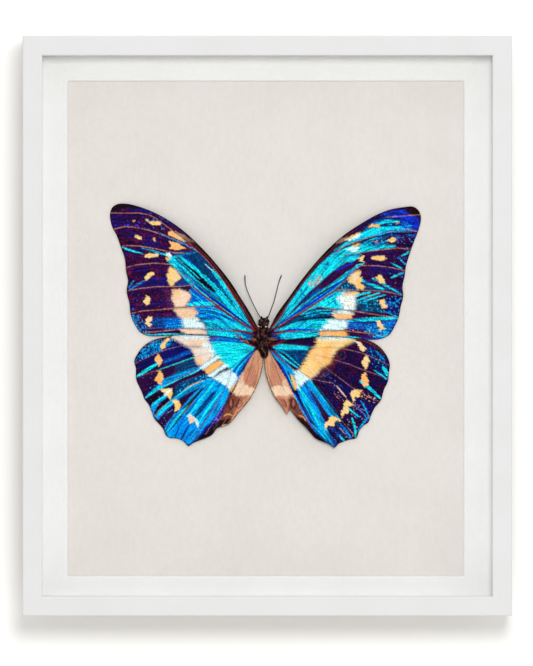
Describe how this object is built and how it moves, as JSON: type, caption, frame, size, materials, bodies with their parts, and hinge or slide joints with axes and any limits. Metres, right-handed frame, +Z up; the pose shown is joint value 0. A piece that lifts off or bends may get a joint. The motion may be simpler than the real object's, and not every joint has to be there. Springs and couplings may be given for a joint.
{
  "type": "framed butterfly specimen",
  "caption": "White shadow-box picture frame with a bevelled window mat and a set blue morpho butterfly pinned behind glass; hangs on a wall.",
  "frame": {"origin": "on the flat outer face of the saw-toothed hanger, at the wall, in the middle of the frame's width", "axes": "+Z up along the hung frame, +Y out of the back towards the wall, so the front faces -Y; +X to the right as seen from the front"},
  "size_m": [0.2, 0.026, 0.237],
  "materials": {
    "white_rail": "satin white paint",
    "clear_glass": "polished",
    "white_spacer": "matte",
    "mat_board": "matte",
    "grey_paper": "matte",
    "soft_board": "matte",
    "fibre_board": "raw hardboard",
    "steel": "bare steel",
    "brassed_steel": "dull brass plate",
    "blue_wing": "iridescent blue scales",
    "dark_body": "dark hairy skin"
  },
  "bodies": {
    "root": {"rail_top": "white_rail", "rail_bottom": "white_rail", "rail_left": "white_rail", "rail_right": "white_rail", "glazing": "clear_glass", "spacer_top": "white_spacer", "spacer_bottom": "white_spacer", "spacer_left": "white_spacer", "spacer_right": "white_spacer", "window_mat": "mat_board", "specimen_paper": "grey_paper", "mounting_board": "soft_board", "back_board": "fibre_board", "point_top_a": "steel", "point_top_b": "steel", "point_bottom_a": "steel", "point_bottom_b": "steel", "point_left_a": "steel", "point_left_b": "steel", "point_right_a": "steel", "point_right_b": "steel", "hanger": "brassed_steel", "hanger_rivet_left": "brassed_steel", "hanger_rivet_right": "brassed_steel", "forewing_left": "blue_wing", "forewing_right": "blue_wing", "hindwing_left": "blue_wing", "hindwing_right": "blue_wing", "butterfly_body": "dark_body", "antenna_left": "dark_body", "antenna_right": "dark_body", "mounting_pin": "steel"}
  },
  "joints": []
}
